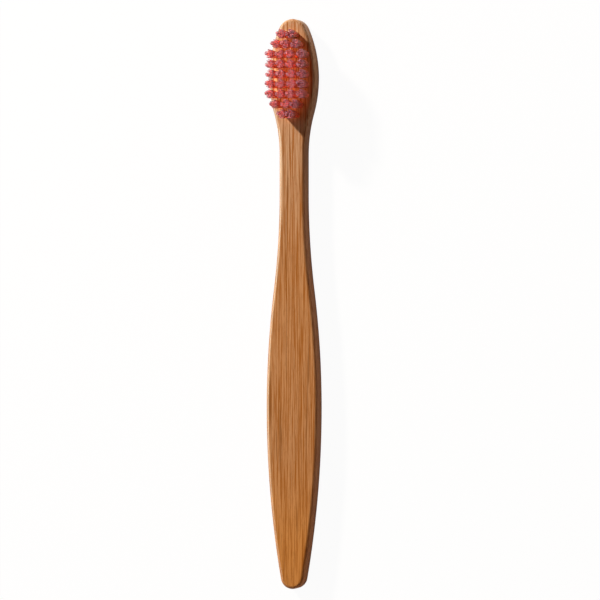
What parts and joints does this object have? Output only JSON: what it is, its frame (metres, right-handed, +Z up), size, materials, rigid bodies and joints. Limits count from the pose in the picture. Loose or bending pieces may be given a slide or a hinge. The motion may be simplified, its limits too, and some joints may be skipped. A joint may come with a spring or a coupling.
{
  "type": "manual toothbrush",
  "caption": "Compact manual toothbrush: flat waisted bamboo handle with a rounded oval head, its folded nylon bristle tufts held in blind holes by small metal anchors.",
  "frame": {"origin": "middle of the handle's flat back, under the middle of the brush's length and width", "axes": "+Y along the handle towards the head's tip, +X to the right seen from the bristles with the head up, +Z up out of the face that carries the bristles"},
  "size_m": [0.0138, 0.15, 0.0145],
  "materials": {
    "bamboo": "steamed brown bamboo with fine lengthwise grain, sanded, satin",
    "bristle": "slightly translucent pink-red nylon filaments",
    "anchor": "plain cut from flat wire"
  },
  "bodies": {
    "root": {"handle": "bamboo", "tuft_row1_1": "bristle", "tuft_row1_2": "bristle", "tuft_row2_1": "bristle", "tuft_row2_2": "bristle", "tuft_row2_3": "bristle", "tuft_row3_1": "bristle", "tuft_row3_2": "bristle", "tuft_row3_3": "bristle", "tuft_row3_4": "bristle", "tuft_row4_1": "bristle", "tuft_row4_2": "bristle", "tuft_row4_3": "bristle", "tuft_row4_4": "bristle", "tuft_row5_1": "bristle", "tuft_row5_2": "bristle", "tuft_row5_3": "bristle", "tuft_row5_4": "bristle", "tuft_row6_1": "bristle", "tuft_row6_2": "bristle", "tuft_row6_3": "bristle", "tuft_row6_4": "bristle", "tuft_row7_1": "bristle", "tuft_row7_2": "bristle", "tuft_row7_3": "bristle", "tuft_row7_4": "bristle", "tuft_row8_1": "bristle", "tuft_row8_2": "bristle", "tuft_row8_3": "bristle", "tuft_row9_1": "bristle", "tuft_row9_2": "bristle", "anchors_row1": "anchor", "anchors_row2": "anchor", "anchors_row3": "anchor", "anchors_row4": "anchor", "anchors_row5": "anchor", "anchors_row6": "anchor", "anchors_row7": "anchor", "anchors_row8": "anchor", "anchors_row9": "anchor"}
  },
  "joints": []
}
